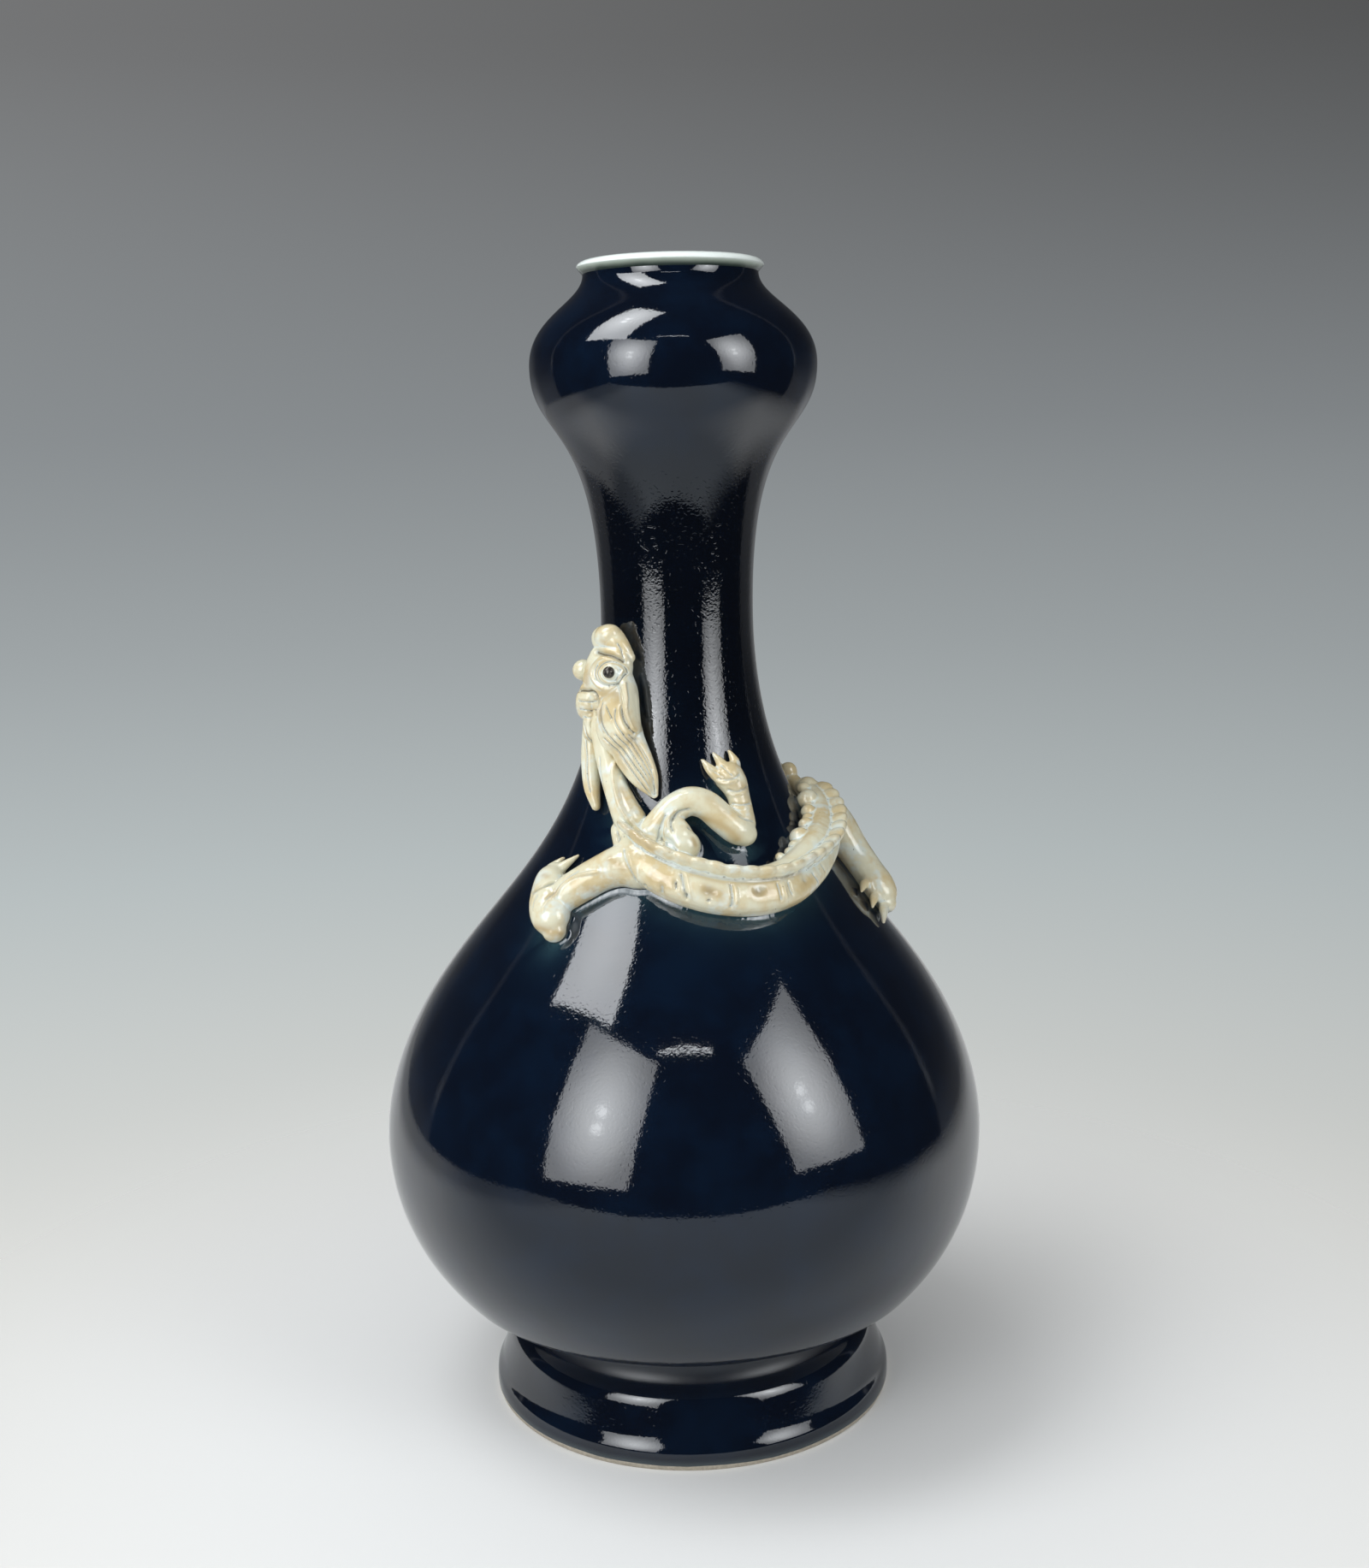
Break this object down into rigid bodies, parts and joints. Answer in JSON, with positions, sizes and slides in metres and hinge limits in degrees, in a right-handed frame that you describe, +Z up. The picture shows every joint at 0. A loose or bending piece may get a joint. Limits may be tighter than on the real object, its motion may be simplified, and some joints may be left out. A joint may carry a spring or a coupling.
{
  "type": "glazed vase",
  "caption": "Tall glazed stoneware vase with a garlic-head mouth, slender neck, round body and spreading foot, with a modelled hornless dragon climbing round its shoulder.",
  "frame": {"origin": "centre of the foot, on the plane it stands on", "axes": "+Z up along the vase's axis; -Y towards the viewer of the picture; +X to the right in it"},
  "size_m": [0.18, 0.18, 0.34],
  "materials": {
    "cobalt_glaze": "gloss",
    "white_glaze": "gloss",
    "dragon_glaze": "gloss",
    "iron_spot": "gloss"
  },
  "bodies": {
    "root": {"stem_foot": "cobalt_glaze", "body_lower": "cobalt_glaze", "body_upper": "cobalt_glaze", "neck": "cobalt_glaze", "mouth_bulb": "cobalt_glaze", "lip_ring": "white_glaze", "dragon_torso": "dragon_glaze", "dragon_neck": "dragon_glaze", "dragon_tail": "dragon_glaze", "tail_fork": "dragon_glaze", "tail_tip": "dragon_glaze", "right_upper_arm": "dragon_glaze", "right_forearm": "dragon_glaze", "left_upper_arm": "dragon_glaze", "left_forearm": "dragon_glaze", "right_hind_leg": "dragon_glaze", "left_hind_leg": "dragon_glaze", "shoulder_curl": "dragon_glaze", "dragon_head": "dragon_glaze", "snout": "dragon_glaze", "head_crest": "dragon_glaze", "right_beard_lock": "dragon_glaze", "left_beard_lock": "dragon_glaze", "right_eye": "dragon_glaze", "left_eye": "dragon_glaze", "dorsal_crest": "dragon_glaze", "spine_beads": "dragon_glaze", "right_fore_toe_1": "dragon_glaze", "right_fore_toe_2": "dragon_glaze", "right_fore_toe_3": "dragon_glaze", "left_fore_toe_1": "dragon_glaze", "left_fore_toe_2": "dragon_glaze", "left_fore_toe_3": "dragon_glaze", "right_hind_toe_1": "dragon_glaze", "right_hind_toe_2": "dragon_glaze", "right_hind_toe_3": "dragon_glaze", "left_hind_toe_1": "dragon_glaze", "left_hind_toe_2": "dragon_glaze", "left_hind_toe_3": "dragon_glaze", "right_pupil": "iron_spot", "left_pupil": "iron_spot"}
  },
  "joints": []
}
